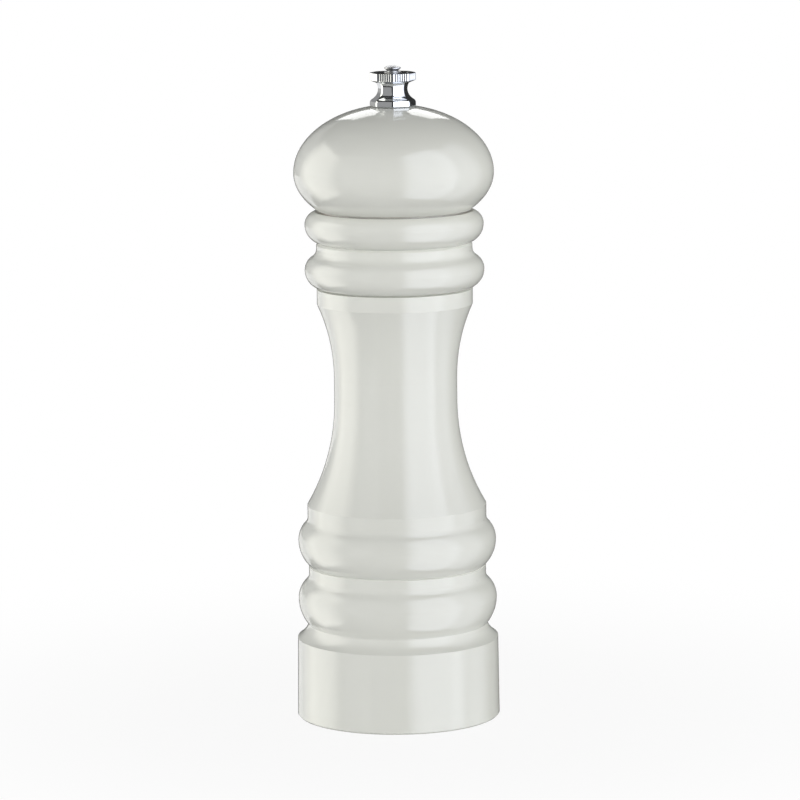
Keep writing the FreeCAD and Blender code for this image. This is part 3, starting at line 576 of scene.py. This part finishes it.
# %% [markdown]
# ## Softboxes and cards
# Gloss shows what stands around it. A broad softbox and its wing on the right and a softer one on the left
# draw the upright bands of light on the lacquer. A small one high at the back whitens the shoulders of
# the head. Three paler cards on the left fill facets of the nut and lighten the left edge of the mill.
# All are lamps that show in gloss only and fade at their edges, so each can be moved to place its own
# reflection, and the soft light on the mill stays as it is.

# %% Softboxes
SOFTBOX_DISTANCE = 1.3
END_EDGE = 0.1
COOL_WHITE = "F0F4FF"
WARM_WHITE = "FFFDF3"


def soft_edge(tree, along, edge):
    """1 in the middle of a lamp, falling to 0 over a share of its size at both ends."""
    offset = add_node(tree, "ShaderNodeMath", {0: along, 1: 0.5}, operation="SUBTRACT")
    off_middle = add_node(tree, "ShaderNodeMath", {0: offset}, operation="ABSOLUTE")
    return add_node(tree, "ShaderNodeMapRange", {0: off_middle, 1: 0.5 - edge, 2: 0.5, 3: 1.0, 4: 0.0},
                    interpolation_type="SMOOTHSTEP")


def softbox(name, azimuth, elevation, width, height, glow, edge, colour=WHITE):
    """A lamp that faces the mill, seen in gloss; azimuth is counted to the right from the camera's side."""
    lamp = bpy.data.lights.new(name, "AREA")
    lamp.shape = "RECTANGLE"
    lamp.size = width
    lamp.size_y = height
    # This power gives a brightness of 1, which the glow then multiplies
    lamp.energy = math.pi * width * height
    lamp.use_nodes = True
    tree = lamp.node_tree
    tree.nodes.clear()
    place = add_node(tree, "ShaderNodeNewGeometry", output="Parametric")
    axes = add_node(tree, "ShaderNodeSeparateXYZ", {0: place}, output=None)
    sides = soft_edge(tree, axes["X"], edge)
    ends = soft_edge(tree, axes["Y"], END_EDGE)
    share = add_node(tree, "ShaderNodeMath", {0: sides, 1: ends}, operation="MULTIPLY")
    strength = add_node(tree, "ShaderNodeMath", {0: share, 1: glow}, operation="MULTIPLY")
    light = add_node(tree, "ShaderNodeEmission", {"Color": linear(colour), "Strength": strength})
    add_node(tree, "ShaderNodeOutputLight", {"Surface": light}, output=None)
    stand = bpy.data.objects.new(name, lamp)
    turn = math.radians(azimuth)
    rise = math.radians(elevation)
    way = Vector((math.sin(turn) * math.cos(rise), -math.cos(turn) * math.cos(rise), math.sin(rise)))
    stand.location = Vector((0, 0, mill_height / 2)) + way * SOFTBOX_DISTANCE
    stand.rotation_mode = "QUATERNION"
    stand.rotation_quaternion = way.to_track_quat("Z", "Y")
    stand.visible_camera = False
    stand.visible_diffuse = False
    bpy.context.scene.collection.objects.link(stand)


# Azimuth and elevation in degrees, width and height in metres, glow, share that fades at each side
softbox("right_softbox", 46, 0, 2.2, 4.8, 3.4, 0.3, COOL_WHITE)
softbox("right_wing", 92, 0, 1.9, 3.6, 1.7, 0.45, COOL_WHITE)
softbox("left_softbox", -101, 0, 2.0, 2.6, 3.0, 0.38, WARM_WHITE)
softbox("back_softbox", 180, 32, 0.62, 0.46, 3.0, 0.04)
softbox("low_left_card", -146, -15, 0.9, 0.6, 1.0, 0.15)
softbox("high_left_card", -146, 14, 0.9, 0.9, 0.3, 0.15)
softbox("grey_card", -48, 15, 0.9, 2.2, 0.38, 0.05)
print("four softboxes and three cards")

# %% [markdown]
# ## Dark room
# The rest of the studio is dark. It draws the thin grey line along each edge of the lacquer and the black
# facets of the nut. Black flags could be set up for that one by one; a closed box around the stage does
# it for every side at once. It shows in gloss only, so it takes none of the soft light away.

# %% Dark room
ROOM_GREY = "3A3A3A"
ROOM_HALF_SIZE = 3.0


def dark_room():
    half = ROOM_HALF_SIZE
    corners = [(x, y, z) for x in (-half, half) for y in (-half, half) for z in (-half, half)]
    walls = [(0, 1, 3, 2), (4, 5, 7, 6), (0, 1, 5, 4), (2, 3, 7, 6), (0, 2, 6, 4), (1, 3, 7, 5)]
    room = stage_mesh("dark_room", corners, walls)
    material, tree, place = new_material("dark_studio_wall")
    glow = add_node(tree, "ShaderNodeEmission", {"Color": linear(ROOM_GREY), "Strength": 1.0})
    add_node(tree, "ShaderNodeOutputMaterial", {"Surface": glow}, output=None)
    wear(room, material)
    room.visible_camera = False
    room.visible_diffuse = False
    room.visible_shadow = False


dark_room()
print("dark room", ROOM_HALF_SIZE * 2, "m wide, seen in gloss only")

# %% [markdown]
# ## Camera
# The photograph was taken from a little above, with a long lens. The height, distance and lens were found
# from the ellipses of the base and of the seam. The mill leans by half a degree in the frame, so the
# camera is rolled by as much, and a small shift puts the mill a hair left of the middle.

# %% Camera
CAMERA_BACK = 1.17095
CAMERA_HEIGHT = 0.2685
CAMERA_DIP = 8.759
CAMERA_ROLL = 0.5715
LENS_MM = 193.3
SENSOR_MM = 36.0
SHIFT_X = 0.0052

lens = bpy.data.cameras.new("camera")
lens.sensor_width = SENSOR_MM
lens.lens = LENS_MM
lens.shift_x = SHIFT_X
camera = bpy.data.objects.new("camera", lens)
dip = Matrix.Rotation(math.radians(90 - CAMERA_DIP), 4, "X")
roll = Matrix.Rotation(math.radians(-CAMERA_ROLL), 4, "Z")
camera.matrix_world = Matrix.Translation((0, -CAMERA_BACK, CAMERA_HEIGHT)) @ dip @ roll
bpy.context.scene.collection.objects.link(camera)
bpy.context.scene.camera = camera
bpy.context.scene.view_settings.view_transform = "Standard"
print("camera", CAMERA_BACK, "m in front")
